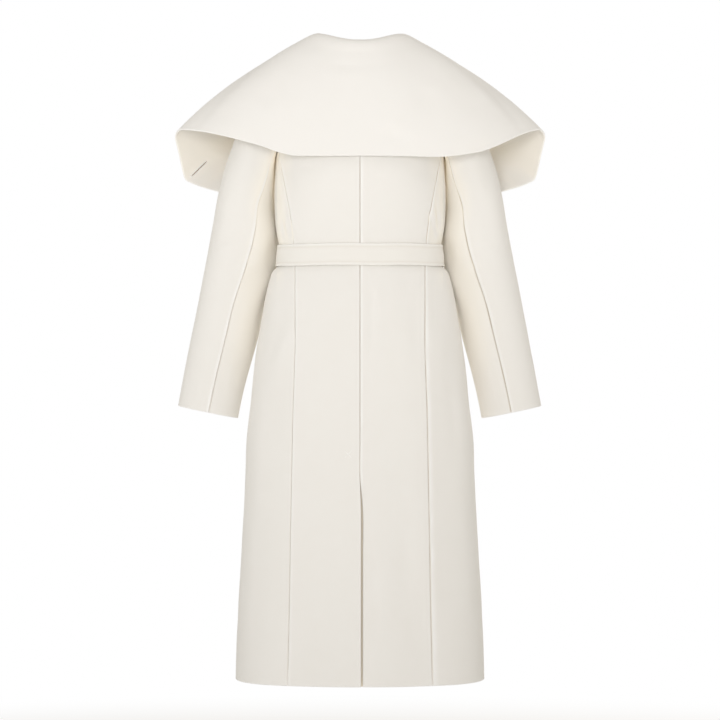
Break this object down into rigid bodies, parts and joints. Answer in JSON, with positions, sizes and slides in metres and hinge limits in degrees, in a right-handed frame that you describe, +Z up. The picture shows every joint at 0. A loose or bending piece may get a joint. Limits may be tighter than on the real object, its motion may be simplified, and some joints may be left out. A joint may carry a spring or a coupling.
{
  "type": "wrap coat",
  "caption": "Long ivory wool wrap coat with a wide off-the-shoulder cape collar, princess seams, tied cloth belt, straight sleeves and a back vent, filled out as worn with nobody in it.",
  "frame": {"origin": "the middle of the neck opening, level with the shoulder seams' highest points beside it", "axes": "+Z up the wearer's back, +Y out of the wearer's back, +X at the wearer's left"},
  "size_m": [0.6792, 0.3052, 1.1745],
  "materials": {
    "body_wool": "matte, smooth milled wool",
    "collar_wool": "matte, smooth milled wool",
    "belt_wool": "matte, smooth milled wool"
  },
  "bodies": {
    "root": {"back_left": "body_wool", "back_right": "body_wool", "vent_underlap": "body_wool", "side_back_left": "body_wool", "side_back_right": "body_wool", "front_left": "body_wool", "front_right": "body_wool", "sleeve_left_under": "body_wool", "sleeve_left_upper": "body_wool", "sleeve_right_under": "body_wool", "sleeve_right_upper": "body_wool", "collar": "collar_wool", "belt": "belt_wool", "belt_knot": "belt_wool", "belt_end_left": "belt_wool", "belt_end_right": "belt_wool"}
  },
  "joints": []
}
